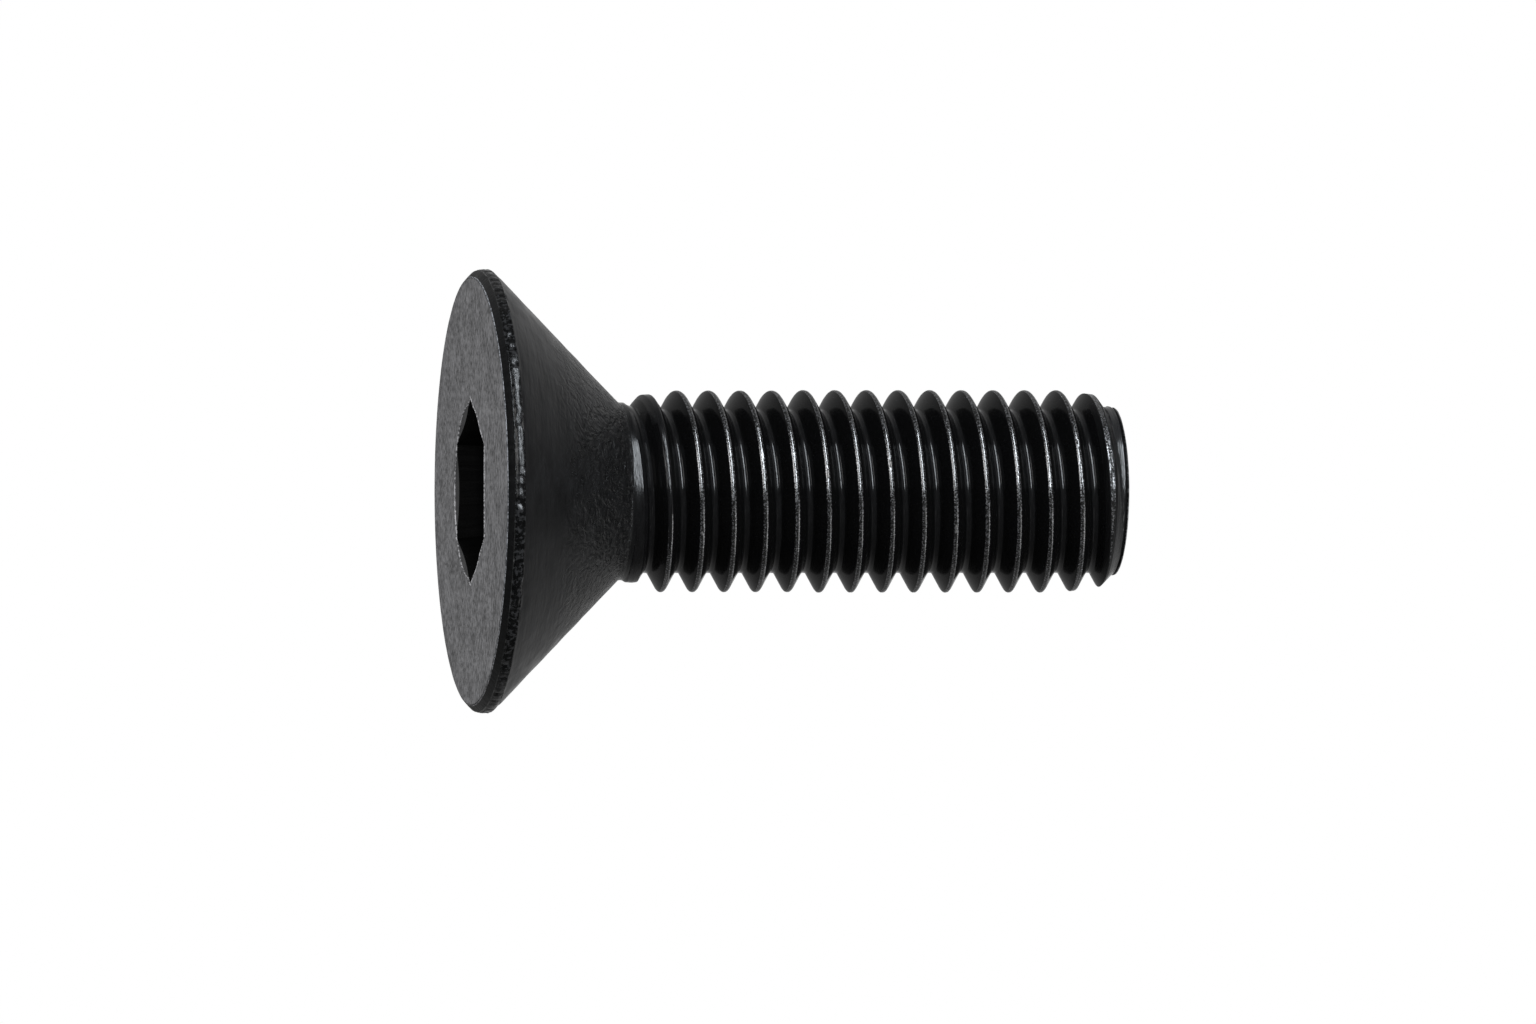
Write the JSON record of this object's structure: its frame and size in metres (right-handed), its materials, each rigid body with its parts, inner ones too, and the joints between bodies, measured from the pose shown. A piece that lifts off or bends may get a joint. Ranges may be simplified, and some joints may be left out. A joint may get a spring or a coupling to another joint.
{
  "type": "countersunk hex socket screw",
  "caption": "Flat countersunk head screw with a hexagon socket, a right-hand metric thread up to the head and a chamfered point, in black oxide steel.",
  "frame": {"origin": "centre of the head's flat face, which the screw stands on", "axes": "+Z along the screw's axis from the head to the point; +X through a corner of the hexagon socket"},
  "size_m": [0.0172, 0.0172, 0.0254],
  "materials": {
    "black_oxide": "black oxide on alloy steel"
  },
  "bodies": {
    "root": {"screw": "black_oxide"}
  },
  "joints": []
}
